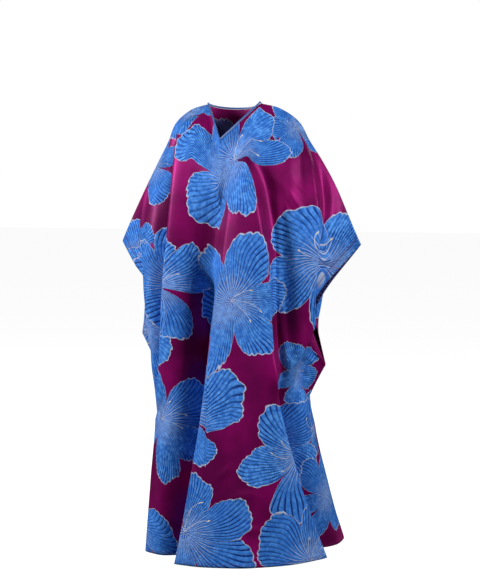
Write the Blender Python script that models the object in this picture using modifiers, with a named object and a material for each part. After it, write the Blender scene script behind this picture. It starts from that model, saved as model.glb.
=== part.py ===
"""Grand boubou robe hanging as it is worn.

A front and a back, each cut in one with its half of both wide sleeves, are joined along the shoulder
and arm line and down the sides below the sleeve openings. A narrow binding finishes the V neck.
The wearer faces -Y, the wearer's left is +X, and the origin is the middle of the shoulder line.
"""

import bpy
import numpy as np

MM = 0.001
FULL = 1.0

# A place on a panel is its across, from -1 at the wearer's right edge to 1 at the left, and its fall, from 0
# at the top edge to 1 at the hem.

CLOTH_THICK = 2.0 * MM
SEAM_GAP = 0.3 * MM
BINDING_WIDTH = 6.0 * MM
BINDING_THICK = 2.4 * MM
BINDING_GAP = 1.2 * MM
BINDING_LOOK_DOWN = 0.02  # fall over which the slope of the cloth under the binding is read
LEAST_MITRE = 0.6
BINDING_STEPS = 4  # spans of the binding along each straight or curve of the neck

NECK_HALF = 0.093
NECK_ACROSS = 0.143
V_DEPTH = 0.122
V_FORWARD = 0.118
BACK_NECK_DROP = 0.016
BACK_NECK_SET = 0.052
HEM_LEVEL = -1.447
SLEEVE_OPENING_HALF = 0.030
LEFT_ARM_FULLNESS = 0.010
RIGHT_ARM_FULLNESS = -0.006

# Shoulder and arm line of both panels: across, x, y, z
ARM_LINE = (
    (0.143, 0.093, 0.000, 0.000),
    (0.240, 0.158, 0.007, -0.018),
    (0.330, 0.215, 0.014, -0.060),
    (0.420, 0.246, 0.018, -0.120),
    (0.520, 0.282, 0.022, -0.180),
    (0.660, 0.328, 0.027, -0.262),
    (0.820, 0.371, 0.031, -0.348),
    (1.000, 0.420, 0.035, -0.452),
)

# Body of the robe: fall, right edge x and y, left edge x and y, front middle x and y, back middle x and y,
# turn of the front's and of the back's left side in degrees
BODY = (
    (0.00, -0.420, 0.035, 0.420, 0.035, 0.000, -0.118, 0.000, 0.052, 80, 80),
    (0.16, -0.330, 0.020, 0.322, 0.020, 0.000, -0.148, 0.000, 0.120, 82, 62),
    (0.31, -0.302, 0.015, 0.286, 0.018, 0.000, -0.158, 0.000, 0.135, 85, 56),
    (0.44, -0.288, 0.010, 0.268, 0.018, 0.000, -0.168, 0.000, 0.155, 88, 56),
    (0.60, -0.268, 0.000, 0.264, 0.040, 0.005, -0.187, 0.000, 0.205, 93, 62),
    (0.80, -0.276, -0.012, 0.270, 0.150, 0.012, -0.215, -0.010, 0.300, 104, 66),
    (1.00, -0.284, -0.020, 0.268, 0.320, 0.020, -0.243, -0.030, 0.430, 118, 64),
)
RIGHT_TURN = 88

# Share of the round body form in x and in y at each fall
ROUNDING = (
    (0.00, 0.00, 0.00),
    (0.05, 0.02, 0.42),
    (0.10, 0.05, 0.68),
    (0.16, 0.12, 0.84),
    (0.31, 0.40, 1.00),
    (0.44, 0.68, 1.00),
    (0.60, 0.92, 1.00),
    (0.80, 1.00, 1.00),
    (1.00, 1.00, 1.00),
)

# How far each side edge stands out of the smooth body form: fall, x
RIGHT_EDGE_STEPS = (
    (0.00, 0.0),
    (0.08, -0.012),
    (0.165, -0.046),
    (0.306, 0.034),
    (0.430, -0.020),
    (0.60, -0.006),
    (1.0, 0.0),
)
LEFT_EDGE_STEPS = ((0.00, 0.0), (0.225, -0.046), (0.385, 0.034), (0.495, -0.016), (0.60, 0.0), (1.0, 0.0))
RIGHT_SEAM_TOP = 0.306
LEFT_SEAM_TOP = 0.385
EDGE_REACH = 0.42  # how far in from a side edge its steps are felt
SLEEVE_PULL_FROM = 0.5  # where across the sleeve starts to be drawn in with its edge

# Folds: fall from and to, across at the top, middle and bottom, width on the wearer's right and left side at
# the top and bottom, depth outward at the top and bottom, lean toward the wearer's left
FRONT_FOLDS = (
    # ridge that hangs from the right shoulder, and the hollow between it and the sleeve
    (0.02, 0.62, -0.21, -0.27, -0.57, 0.05, 0.04, 0.14, 0.16, 0.030, 0.012, -0.6),
    (0.03, 0.60, -0.33, -0.40, -0.70, 0.08, 0.09, 0.05, 0.06, -0.040, -0.046, 0.0),
    # deep trough from the chest to the hem, and the crest of the middle fold beside it
    (0.13, 1.20, 0.00, -0.17, -0.46, 0.13, 0.17, 0.05, 0.05, -0.026, -0.130, 0.0),
    (0.36, 1.20, -0.06, -0.23, -0.46, 0.08, 0.10, 0.04, 0.05, -0.050, -0.040, 0.0),
    (0.12, 1.20, 0.10, -0.03, -0.31, 0.04, 0.04, 0.14, 0.18, 0.012, 0.040, -0.5),
    # crest on the other side of the middle fold, and the hollow behind it
    (0.12, 1.20, 0.12, 0.44, 0.55, 0.16, 0.22, 0.04, 0.05, 0.018, 0.046, 0.9),
    (0.14, 1.20, 0.23, 0.58, 0.70, 0.05, 0.06, 0.11, 0.12, -0.034, -0.080, 0.0),
    # sleeve cloth that hangs over the lower sleeve corner, and the hollow under it
    (0.20, 0.56, 0.98, 0.71, 0.50, 0.14, 0.16, 0.05, 0.05, 0.018, 0.026, 0.4),
    (0.24, 0.62, 1.06, 0.83, 0.64, 0.05, 0.06, 0.07, 0.08, -0.014, -0.024, 0.0),
    # soft folds of the left sleeve and side
    (0.00, 0.34, 0.37, 0.60, 0.66, 0.05, 0.06, 0.05, 0.05, 0.018, 0.016, 0.4),
    (0.00, 0.30, 0.52, 0.74, 0.80, 0.06, 0.07, 0.06, 0.06, -0.016, -0.012, 0.0),
    (0.16, 0.52, 0.29, 0.40, 0.56, 0.04, 0.04, 0.04, 0.05, 0.012, 0.016, 0.0),
    # soft folds of the right sleeve
    (0.00, 0.30, -0.56, -0.70, -0.74, 0.06, 0.06, 0.06, 0.06, 0.014, 0.008, 0.0),
    (0.18, 0.50, -0.86, -0.84, -0.78, 0.07, 0.07, 0.07, 0.07, 0.004, 0.004, 0.0),
    # low ridge and trough of the right side of the skirt
    (0.56, 1.20, -0.66, -0.68, -0.68, 0.07, 0.08, 0.07, 0.08, 0.003, 0.016, 0.0),
    (0.62, 1.20, -0.82, -0.82, -0.82, 0.06, 0.07, 0.06, 0.07, -0.004, -0.018, 0.0),
)
BACK_FOLDS = (
    (0.10, 1.20, -0.10, -0.16, -0.22, 0.07, 0.08, 0.07, 0.09, -0.008, -0.056, 0.0),
    (0.16, 1.20, 0.20, 0.24, 0.28, 0.06, 0.08, 0.08, 0.07, -0.006, -0.044, 0.0),
    (0.06, 1.20, 0.04, 0.03, 0.05, 0.08, 0.10, 0.09, 0.11, 0.004, 0.030, 0.0),
    (0.12, 1.20, -0.44, -0.50, -0.56, 0.07, 0.08, 0.07, 0.09, -0.014, -0.040, 0.0),
    (0.20, 1.20, -0.30, -0.34, -0.40, 0.07, 0.08, 0.06, 0.08, 0.006, 0.028, 0.0),
    (0.10, 1.20, 0.46, 0.54, 0.60, 0.07, 0.08, 0.07, 0.08, -0.012, -0.036, 0.0),
    (0.24, 1.20, 0.38, 0.42, 0.46, 0.06, 0.07, 0.06, 0.07, 0.005, 0.022, 0.0),
    (0.00, 0.34, 0.40, 0.64, 0.74, 0.06, 0.06, 0.06, 0.06, 0.010, 0.006, 0.0),
    (0.00, 0.32, -0.42, -0.62, -0.72, 0.06, 0.06, 0.06, 0.06, 0.009, 0.006, 0.0),
    (0.50, 1.20, -0.76, -0.76, -0.78, 0.06, 0.07, 0.06, 0.07, 0.004, 0.018, 0.0),
    (0.55, 1.20, 0.78, 0.78, 0.80, 0.06, 0.06, 0.06, 0.06, 0.004, 0.016, 0.0),
)

FOLD_FREE_OF_SEAM = 0.10
FOLD_FREE_OF_TOP = 0.05
FOLD_FADE = 0.08  # fall over which a fold starts or ends

PANEL_COLUMNS = 38
PANEL_ROWS = 29
ROW_CROWDING = 1.15  # above 1 the rows lie closer together near the shoulders
COLUMN_CROWDING = 2.5  # how strongly the columns gather on the steep sides of folds
CROWDING_SAMPLES = 401

FRONT_COLOUR = (0.33, 0.01, 0.18)
BACK_COLOUR = (0.30, 0.01, 0.18)
BINDING_COLOUR = (0.03, 0.09, 0.25)
SATIN_ROUGHNESS = 0.4


def smooth_through(knots, values, at):
    """A smooth curve through table values, its slope at each knot taken from the knots beside it."""
    knots = np.asarray(knots, float)
    values = np.asarray(values, float)
    slopes = np.gradient(values, knots)
    start = np.clip(np.searchsorted(knots, at, side="right") - 1, 0, len(knots) - 2)
    step = knots[start + 1] - knots[start]
    t = (at - knots[start]) / step
    rise = t * t * (3 - 2 * t)
    leave = t * (1 - t) ** 2 * step * slopes[start]
    arrive = t * t * (t - 1) * step * slopes[start + 1]
    return values[start] * (1 - rise) + values[start + 1] * rise + leave + arrive


def column(table, number):
    """One column of a table."""
    return [row[number] for row in table]


def ease(t):
    """Rises from 0 to 1 with level ends."""
    t = np.clip(t, 0, 1)
    return t * t * (3 - 2 * t)


def top_edge(across, front):
    """Neck, shoulder and arm line of one panel."""
    reach = np.abs(across)
    side = np.sign(across)
    knots = column(ARM_LINE, 0)
    x, y, z = (smooth_through(knots, column(ARM_LINE, n), np.maximum(reach, NECK_ACROSS)) for n in (1, 2, 3))
    along = np.clip((reach - NECK_ACROSS) / (FULL - NECK_ACROSS), 0, 1)
    x = x + np.where(side > 0, LEFT_ARM_FULLNESS, RIGHT_ARM_FULLNESS) * np.sin(np.pi * along) ** 2
    inside = np.clip(1 - reach / NECK_ACROSS, 0, 1)
    if front:
        neck_y = -V_FORWARD * inside
        neck_z = -V_DEPTH * inside
    else:
        neck_y = BACK_NECK_SET * np.sqrt(1 - (1 - inside) ** 2)
        neck_z = -BACK_NECK_DROP * np.sqrt(1 - (1 - inside) ** 2)
    at_neck = reach < NECK_ACROSS
    x = np.where(at_neck, NECK_HALF * reach / NECK_ACROSS, x)
    y = np.where(at_neck, neck_y, y)
    z = np.where(at_neck, neck_z, z)
    return side * x, y, z


def smooth_form(across, fall, front):
    """The robe without its folds: columns hang from the top edge and gather into a round body at the hem."""
    top_x, top_y, top_z = top_edge(across, front)
    at = [smooth_through(column(BODY, 0), column(BODY, n), fall) for n in range(1, 11)]
    right_x, right_y, left_x, left_y, front_x, front_y, back_x, back_y, front_turn, back_turn = at
    middle_x = front_x if front else back_x
    middle_y = front_y if front else back_y
    left_turn = front_turn if front else back_turn
    on_left = across > 0
    edge_x = np.where(on_left, left_x, right_x)
    edge_y = np.where(on_left, left_y, right_y)
    turn = np.radians(np.where(on_left, left_turn, RIGHT_TURN))
    reach = np.abs(across)
    round_x = middle_x + (edge_x - middle_x) * np.sin(turn * reach) / np.sin(turn)
    round_y = middle_y + (edge_y - middle_y) * (1 - np.cos(turn * reach)) / (1 - np.cos(turn))
    pull = ease((reach - SLEEVE_PULL_FROM) / (FULL - SLEEVE_PULL_FROM))
    pulled_in = (edge_x - np.where(on_left, left_x[:1], right_x[:1])) * pull
    share_x = smooth_through(column(ROUNDING, 0), column(ROUNDING, 1), fall)
    share_y = smooth_through(column(ROUNDING, 0), column(ROUNDING, 2), fall)
    x = (top_x + pulled_in) * (1 - share_x) + round_x * share_x
    y = top_y * (1 - share_y) + round_y * share_y
    z = top_z + (HEM_LEVEL - top_z) * fall
    near_edge = ease((reach - 1 + EDGE_REACH) / EDGE_REACH) ** 2
    right_step = -np.interp(fall, *zip(*RIGHT_EDGE_STEPS))
    left_step = np.interp(fall, *zip(*LEFT_EDGE_STEPS))
    x = x + np.where(on_left, left_step, right_step) * near_edge
    seam_top = np.where(on_left, LEFT_SEAM_TOP, RIGHT_SEAM_TOP)
    opening = SLEEVE_OPENING_HALF * np.sin(np.pi * np.clip(fall / seam_top, 0, 1))
    y = y + opening * near_edge * (-1 if front else 1)
    return np.stack([x, y, z], axis=-1)


def outward(points, front):
    """Unit vectors square to the cloth, away from the body, and unit vectors along it to the left."""
    along = np.gradient(points, axis=1)
    down = np.gradient(points, axis=0)
    normal = np.cross(down, along)
    if not front:
        normal = -normal
    normal /= np.linalg.norm(normal, axis=-1, keepdims=True)
    along /= np.linalg.norm(along, axis=-1, keepdims=True)
    return normal, along


def fold_push(folds, across, fall):
    """How far the folds lift the cloth off its smooth form, and how far they lean it to the left."""
    lift = np.zeros(np.broadcast(across, fall).shape)
    held = ease((1 - np.abs(across)) / FOLD_FREE_OF_SEAM) * ease(fall / FOLD_FREE_OF_TOP)
    slide = np.zeros(lift.shape)
    for start, end, *rest in folds:
        top, middle, bottom, *widths, depth_top, depth_bottom, lean = rest
        right_top, right_bottom, left_top, left_bottom = widths
        t = np.clip((fall - start) / (end - start), 0, 1)
        crest = top * (1 - t) * (1 - 2 * t) + middle * 4 * t * (1 - t) + bottom * t * (2 * t - 1)
        right = right_top + (right_bottom - right_top) * t
        left = left_top + (left_bottom - left_top) * t
        depth = depth_top + (depth_bottom - depth_top) * t
        away = (across - crest) / np.where(across < crest, right, left)
        shown = ease((fall - start) / FOLD_FADE + 0.5) * ease((end - fall) / FOLD_FADE + 0.5)
        push = depth * np.exp(-away * away) * shown * held
        lift = lift + push
        slide = slide + push * lean
    return lift, slide


def panel_form(across, fall, front):
    """The folded form of one panel as a grid of points, rows down the cloth and columns across it."""
    across = np.atleast_2d(across)
    fall = np.reshape(fall, (-1, 1))
    smooth = smooth_form(across, fall, front)
    normal, along = outward(smooth, front)
    lift, slide = fold_push(FRONT_FOLDS if front else BACK_FOLDS, across, fall)
    apart = np.array([0, -SEAM_GAP if front else SEAM_GAP, 0])
    return smooth + normal * lift[..., None] + along * slide[..., None] + apart


def strip_mesh(name, points, closed=False):
    """A mesh of quads through a grid of points, joined end to end along its columns if it is closed."""
    rows, columns = points.shape[:2]
    index = np.arange(rows * columns).reshape(rows, columns)
    right = np.roll(index, -1, axis=1) if closed else index[:, 1:]
    left = index if closed else index[:, :-1]
    faces = np.stack([left[:-1], left[1:], right[1:], right[:-1]], axis=-1).reshape(-1, 4)
    mesh = bpy.data.meshes.new(name)
    mesh.from_pydata(points.reshape(-1, 3).tolist(), [], faces.tolist())
    mesh.update()
    return mesh


def material(name, colour, roughness):
    """A plain cloth material."""
    cloth = bpy.data.materials.new(name)
    cloth.use_nodes = True
    shader = cloth.node_tree.nodes["Principled BSDF"]
    shader.inputs["Base Color"].default_value = (*colour, 1)
    shader.inputs["Roughness"].default_value = roughness
    return cloth


def cloth_object(name, mesh, thick, cloth, collection):
    """An open surface with the cloth's thickness laid on its outer side."""
    mesh.materials.append(cloth)
    piece = bpy.data.objects.new(name, mesh)
    collection.objects.link(piece)
    shell = piece.modifiers.new("Cloth", "SOLIDIFY")
    shell.thickness = thick
    shell.offset = 1
    shell.use_even_offset = False
    return piece


def even_columns(count):
    """Columns across a panel, with one on each neck point and one on the middle."""
    neck = BINDING_STEPS
    arm = (count - 2 * neck) // 2
    neck_side = np.linspace(0, NECK_ACROSS, neck + 1)
    arm_side = np.linspace(NECK_ACROSS, FULL, arm + 1)[1:]
    side = np.concatenate([neck_side, arm_side])
    return np.concatenate([-side[:0:-1], side])


def gathered_columns(columns, fall, front):
    """The columns at each row, moved so that more of them lie on the steep sides of folds. Equal shares of a
    running total of steepness take the place of equal distances across."""
    places = np.linspace(-FULL, FULL, CROWDING_SAMPLES)
    lift = fold_push(FRONT_FOLDS if front else BACK_FOLDS, places[None], fall[:, None])[0]
    weight = 1 + COLUMN_CROWDING * np.abs(np.gradient(lift, places, axis=1))
    total = np.cumsum((weight[:, 1:] + weight[:, :-1]) / 2, axis=1)
    total = np.insert(total, 0, 0, axis=1)
    total = 2 * total / total[:, -1:] - 1
    return np.array([np.interp(columns, row, places) for row in total])


def build_panel(name, front, cloth, collection):
    """The front or the back, as one shell."""
    fall = np.linspace(0, 1, PANEL_ROWS + 1) ** ROW_CROWDING
    across = gathered_columns(even_columns(PANEL_COLUMNS), fall, front)
    points = panel_form(across, fall, front)
    mesh = strip_mesh(name, points)
    if not front:
        mesh.flip_normals()
    return cloth_object(name, mesh, CLOTH_THICK, cloth, collection)


def neck_path():
    """Points round the neck edge with the cloth's outward direction at each, front first and then back."""
    across = np.linspace(-NECK_ACROSS, NECK_ACROSS, 2 * BINDING_STEPS + 1)
    fall = np.array([0, 0.5, 1.0]) * BINDING_LOOK_DOWN
    points, normals = [], []
    for front, order in ((True, 1), (False, -1)):
        panel = panel_form(across, fall, front)
        normal = outward(panel, front)[0]
        points.append(panel[0, ::order])
        normals.append(normal[0, ::order])
    points[0][[0, -1]] = (points[0][[0, -1]] + points[1][[-1, 0]]) / 2
    normals[0][[0, -1]] += normals[1][[-1, 0]]
    path = np.concatenate([points[0], points[1][1:-1]])
    out = np.concatenate([normals[0], normals[1][1:-1]])
    return path, out / np.linalg.norm(out, axis=1, keepdims=True)


def build_binding(cloth, collection):
    """The strip round the neck, set in from its edge, with mitred corners at the V and the neck points."""
    path, out = neck_path()
    ahead = np.roll(path, -1, axis=0) - path
    ahead /= np.linalg.norm(ahead, axis=1, keepdims=True)
    before = np.roll(ahead, 1, axis=0)
    inward = np.cross(out, ahead) + np.cross(out, before)
    inward /= np.linalg.norm(inward, axis=1, keepdims=True)
    bend = np.einsum("ij,ij->i", inward, np.cross(out, ahead))
    inward /= np.clip(bend, LEAST_MITRE, 1)[:, None]
    rows = [path + inward * reach for reach in (BINDING_GAP + BINDING_WIDTH, BINDING_GAP)]
    mesh = strip_mesh("neck_binding", np.stack(rows), closed=True)
    return cloth_object("neck_binding", mesh, BINDING_THICK, cloth, collection)


def clear_scene():
    """Empties the scene."""
    for piece in list(bpy.data.objects):
        bpy.data.objects.remove(piece, do_unlink=True)


def build_robe():
    """The whole robe, in a collection of its own."""
    clear_scene()
    robe = bpy.data.collections.new("grand_boubou")
    bpy.context.scene.collection.children.link(robe)
    build_panel("front", True, material("front_cloth", FRONT_COLOUR, SATIN_ROUGHNESS), robe)
    build_panel("back", False, material("back_cloth", BACK_COLOUR, SATIN_ROUGHNESS), robe)
    build_binding(material("binding_cloth", BINDING_COLOUR, SATIN_ROUGHNESS), robe)


build_robe()
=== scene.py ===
import math

import bpy
import numpy as np
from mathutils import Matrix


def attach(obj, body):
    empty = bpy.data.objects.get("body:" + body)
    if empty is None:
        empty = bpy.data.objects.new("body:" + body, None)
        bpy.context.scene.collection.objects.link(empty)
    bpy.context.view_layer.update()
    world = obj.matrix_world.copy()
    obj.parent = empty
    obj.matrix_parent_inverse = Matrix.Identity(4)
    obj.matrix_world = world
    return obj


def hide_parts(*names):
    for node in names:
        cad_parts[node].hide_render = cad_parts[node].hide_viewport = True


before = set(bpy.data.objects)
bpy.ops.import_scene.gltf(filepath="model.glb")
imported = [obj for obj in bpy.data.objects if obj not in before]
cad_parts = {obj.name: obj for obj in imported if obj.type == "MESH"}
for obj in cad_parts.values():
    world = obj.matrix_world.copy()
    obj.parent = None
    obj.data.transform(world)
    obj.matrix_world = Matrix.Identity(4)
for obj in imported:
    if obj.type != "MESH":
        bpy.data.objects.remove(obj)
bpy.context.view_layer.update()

MM = 0.001
FULL = 1.0

# A place on a panel is its across, from -1 at the wearer's right edge to 1 at the left, and its fall, from 0
# at the top edge to 1 at the hem.

# Sizes of the robe
CLOTH_THICK = 1.2 * MM
SEAM_GAP = 0.3 * MM
BINDING_WIDTH = 6.0 * MM
BINDING_THICK = 2.4 * MM
NECK_HALF = 0.093
NECK_ACROSS = 0.143
V_DEPTH = 0.122
V_FORWARD = 0.118
BACK_NECK_DROP = 0.016
BACK_NECK_SET = 0.052
HEM_LEVEL = -1.447
SLEEVE_OPENING_HALF = 0.030
LEFT_ARM_FULLNESS = 0.010
RIGHT_ARM_FULLNESS = -0.006

# Shoulder and arm line of both panels: across, x, y, z
ARM_LINE = (
    (0.143, 0.093, 0.000, 0.000),
    (0.240, 0.158, 0.007, -0.018),
    (0.330, 0.215, 0.014, -0.060),
    (0.420, 0.246, 0.018, -0.120),
    (0.520, 0.282, 0.022, -0.180),
    (0.660, 0.328, 0.027, -0.262),
    (0.820, 0.371, 0.031, -0.348),
    (1.000, 0.420, 0.035, -0.452),
)

# Body of the robe: fall, right edge x and y, left edge x and y, front middle x and y, back middle x and y,
# turn of the front's and of the back's left side in degrees
BODY = (
    (0.00, -0.420, 0.035, 0.420, 0.035, 0.000, -0.118, 0.000, 0.052, 80, 80),
    (0.16, -0.330, 0.020, 0.322, 0.020, 0.000, -0.148, 0.000, 0.120, 82, 62),
    (0.31, -0.302, 0.015, 0.286, 0.018, 0.000, -0.158, 0.000, 0.135, 85, 56),
    (0.44, -0.288, 0.010, 0.268, 0.018, 0.000, -0.168, 0.000, 0.155, 88, 56),
    (0.60, -0.268, 0.000, 0.264, 0.040, 0.005, -0.187, 0.000, 0.205, 93, 62),
    (0.80, -0.276, -0.012, 0.270, 0.150, 0.012, -0.215, -0.010, 0.300, 104, 66),
    (1.00, -0.284, -0.020, 0.268, 0.320, 0.020, -0.243, -0.030, 0.430, 118, 64),
)
RIGHT_TURN = 88

# Share of the round body form in x and in y at each fall
ROUNDING = (
    (0.00, 0.00, 0.00),
    (0.05, 0.02, 0.42),
    (0.10, 0.05, 0.68),
    (0.16, 0.12, 0.84),
    (0.31, 0.40, 1.00),
    (0.44, 0.68, 1.00),
    (0.60, 0.92, 1.00),
    (0.80, 1.00, 1.00),
    (1.00, 1.00, 1.00),
)

# How far each side edge stands out of the smooth body form: fall, x
RIGHT_EDGE_STEPS = (
    (0.00, 0.0),
    (0.08, -0.012),
    (0.165, -0.046),
    (0.306, 0.034),
    (0.430, -0.020),
    (0.60, -0.006),
    (1.0, 0.0),
)
LEFT_EDGE_STEPS = ((0.00, 0.0), (0.225, -0.046), (0.385, 0.034), (0.495, -0.016), (0.60, 0.0), (1.0, 0.0))
RIGHT_SEAM_TOP = 0.306
LEFT_SEAM_TOP = 0.385
EDGE_REACH = 0.42  # how far in from a side edge its steps are felt
SLEEVE_PULL_FROM = 0.5  # where across the sleeve starts to be drawn in with its edge

# Folds: fall from and to, across at the top, middle and bottom, width on the wearer's right and left side at
# the top and bottom, depth outward at the top and bottom, lean toward the wearer's left
FRONT_FOLDS = (
    # ridge that hangs from the right shoulder, and the hollow between it and the sleeve
    (0.02, 0.62, -0.21, -0.27, -0.57, 0.05, 0.04, 0.14, 0.16, 0.030, 0.012, -0.6),
    (0.03, 0.60, -0.33, -0.40, -0.70, 0.08, 0.09, 0.05, 0.06, -0.040, -0.046, 0.0),
    # deep trough from the chest to the hem, and the crest of the middle fold beside it
    (0.13, 1.20, 0.00, -0.17, -0.46, 0.13, 0.17, 0.05, 0.05, -0.026, -0.130, 0.0),
    (0.36, 1.20, -0.06, -0.23, -0.46, 0.08, 0.10, 0.04, 0.05, -0.050, -0.040, 0.0),
    (0.12, 1.20, 0.10, -0.03, -0.31, 0.04, 0.04, 0.14, 0.18, 0.012, 0.040, -0.5),
    # crest on the other side of the middle fold, and the hollow behind it
    (0.12, 1.20, 0.12, 0.44, 0.55, 0.16, 0.22, 0.04, 0.05, 0.018, 0.046, 0.9),
    (0.14, 1.20, 0.23, 0.58, 0.70, 0.05, 0.06, 0.11, 0.12, -0.034, -0.080, 0.0),
    # sleeve cloth that hangs over the lower sleeve corner, and the hollow under it
    (0.20, 0.56, 0.98, 0.71, 0.50, 0.14, 0.16, 0.05, 0.05, 0.018, 0.026, 0.4),
    (0.24, 0.62, 1.06, 0.83, 0.64, 0.05, 0.06, 0.07, 0.08, -0.014, -0.024, 0.0),
    # soft folds of the left sleeve and side
    (0.00, 0.34, 0.37, 0.60, 0.66, 0.05, 0.06, 0.05, 0.05, 0.018, 0.016, 0.4),
    (0.00, 0.30, 0.52, 0.74, 0.80, 0.06, 0.07, 0.06, 0.06, -0.016, -0.012, 0.0),
    (0.16, 0.52, 0.29, 0.40, 0.56, 0.04, 0.04, 0.04, 0.05, 0.012, 0.016, 0.0),
    # soft folds of the right sleeve
    (0.00, 0.30, -0.56, -0.70, -0.74, 0.06, 0.06, 0.06, 0.06, 0.014, 0.008, 0.0),
    (0.18, 0.50, -0.86, -0.84, -0.78, 0.07, 0.07, 0.07, 0.07, 0.004, 0.004, 0.0),
    # low ridge and trough of the right side of the skirt
    (0.56, 1.20, -0.66, -0.68, -0.68, 0.07, 0.08, 0.07, 0.08, 0.003, 0.016, 0.0),
    (0.62, 1.20, -0.82, -0.82, -0.82, 0.06, 0.07, 0.06, 0.07, -0.004, -0.018, 0.0),
)
BACK_FOLDS = (
    (0.10, 1.20, -0.10, -0.16, -0.22, 0.07, 0.08, 0.07, 0.09, -0.008, -0.056, 0.0),
    (0.16, 1.20, 0.20, 0.24, 0.28, 0.06, 0.08, 0.08, 0.07, -0.006, -0.044, 0.0),
    (0.06, 1.20, 0.04, 0.03, 0.05, 0.08, 0.10, 0.09, 0.11, 0.004, 0.030, 0.0),
    (0.12, 1.20, -0.44, -0.50, -0.56, 0.07, 0.08, 0.07, 0.09, -0.014, -0.040, 0.0),
    (0.20, 1.20, -0.30, -0.34, -0.40, 0.07, 0.08, 0.06, 0.08, 0.006, 0.028, 0.0),
    (0.10, 1.20, 0.46, 0.54, 0.60, 0.07, 0.08, 0.07, 0.08, -0.012, -0.036, 0.0),
    (0.24, 1.20, 0.38, 0.42, 0.46, 0.06, 0.07, 0.06, 0.07, 0.005, 0.022, 0.0),
    (0.00, 0.34, 0.40, 0.64, 0.74, 0.06, 0.06, 0.06, 0.06, 0.010, 0.006, 0.0),
    (0.00, 0.32, -0.42, -0.62, -0.72, 0.06, 0.06, 0.06, 0.06, 0.009, 0.006, 0.0),
    (0.50, 1.20, -0.76, -0.76, -0.78, 0.06, 0.07, 0.06, 0.07, 0.004, 0.018, 0.0),
    (0.55, 1.20, 0.78, 0.78, 0.80, 0.06, 0.06, 0.06, 0.06, 0.004, 0.016, 0.0),
)

FOLD_FREE_OF_SEAM = 0.10
FOLD_FREE_OF_TOP = 0.05
FOLD_FADE = 0.08  # fall over which a fold starts or ends

# Small creases that the cloth's weight and handling leave: across and fall of both ends, width, depth, bow
FRONT_CREASES = (
    (0.26, 0.145, 0.66, 0.135, 0.008, 0.0050, 0.010),
    (0.30, 0.160, 0.58, 0.170, 0.007, -0.0040, 0.012),
    (0.36, 0.120, 0.60, 0.100, 0.009, 0.0035, -0.010),
    (-0.42, 0.030, -0.25, 0.070, 0.010, 0.0050, 0.006),
    (-0.50, 0.060, -0.30, 0.110, 0.008, -0.0040, 0.010),
    (-0.26, 0.030, -0.24, 0.120, 0.010, 0.0060, 0.004),
    (0.10, 0.860, 0.30, 0.845, 0.012, 0.0035, -0.010),
    (0.14, 0.905, 0.30, 0.915, 0.010, 0.0030, 0.012),
    (0.02, 0.800, 0.16, 0.775, 0.012, 0.0025, 0.010),
    (-0.78, 0.300, -0.52, 0.345, 0.012, 0.0050, 0.012),
    (-0.80, 0.360, -0.56, 0.380, 0.010, -0.0040, -0.012),
    (0.74, 0.420, 0.94, 0.400, 0.012, 0.0050, 0.010),
    (0.78, 0.470, 0.96, 0.440, 0.010, -0.0045, 0.010),
    (0.62, 0.300, 0.86, 0.330, 0.012, 0.0045, -0.012),
    (-0.70, 0.180, -0.50, 0.140, 0.010, 0.0040, 0.010),
)
BACK_CREASES = (
    (-0.55, 0.120, -0.22, 0.140, 0.009, 0.0050, 0.010),
    (0.24, 0.150, 0.56, 0.130, 0.009, 0.0045, -0.010),
    (-0.30, 0.060, 0.10, 0.080, 0.012, 0.0035, 0.012),
    (0.70, 0.400, 0.94, 0.430, 0.012, 0.0050, 0.010),
    (-0.92, 0.330, -0.66, 0.380, 0.012, 0.0045, 0.010),
    (-0.20, 0.840, 0.02, 0.860, 0.014, 0.0040, 0.012),
    (0.30, 0.700, 0.46, 0.720, 0.012, 0.0035, -0.010),
)
CLOTH_ACROSS = 0.62  # metres of cloth to one step of across, and to one step of fall
CLOTH_DOWN = 1.42
RIPPLES = 14
RIPPLE_HEIGHT = 0.0011
RIPPLE_TURNS_ACROSS = (8, 34)
RIPPLE_TURNS_DOWN = (-9, 9)
RIPPLE_STRENGTH = (0.4, 1.0)

PANEL_COLUMNS = 232
PANEL_ROWS = 190
BINDING_STEPS = 40
HEM_TURN = 12 * MM  # depth of the narrow turned hems of the bottom and the sleeves
BINDING_GAP = 0.6 * MM
BINDING_SIDES = 16
SHARPEST_MITRE = 0.8  # least cosine that a mitre widens the strip by

# Flowers: place across and down the panel, length of the petals, turn, number of petals
FRONT_FLOWERS = (
    (0.34, 0.02, 0.120, 115, 5),
    (-0.22, 0.01, 0.110, 300, 5),
    (-0.53, 0.02, 0.125, 20, 5),
    (-0.90, 0.10, 0.150, 40, 5),
    (-0.72, 0.21, 0.090, 130, 5),
    (0.70, 0.185, 0.205, 140, 5),
    (0.07, 0.09, 0.215, 50, 6),
    (-0.78, 0.37, 0.165, 200, 5),
    (-0.35, 0.37, 0.210, 75, 5),
    (0.13, 0.43, 0.210, 10, 6),
    (0.74, 0.49, 0.115, 60, 5),
    (0.93, 0.61, 0.130, 160, 5),
    (-0.12, 0.68, 0.195, 100, 5),
    (-0.52, 0.66, 0.195, 30, 6),
    (0.52, 0.72, 0.205, 195, 5),
    (-0.80, 0.95, 0.150, 220, 5),
    (0.86, 0.84, 0.160, 20, 6),
    (-0.13, 0.93, 0.245, 80, 6),
    (0.46, 1.01, 0.185, 70, 5),
)
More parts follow.
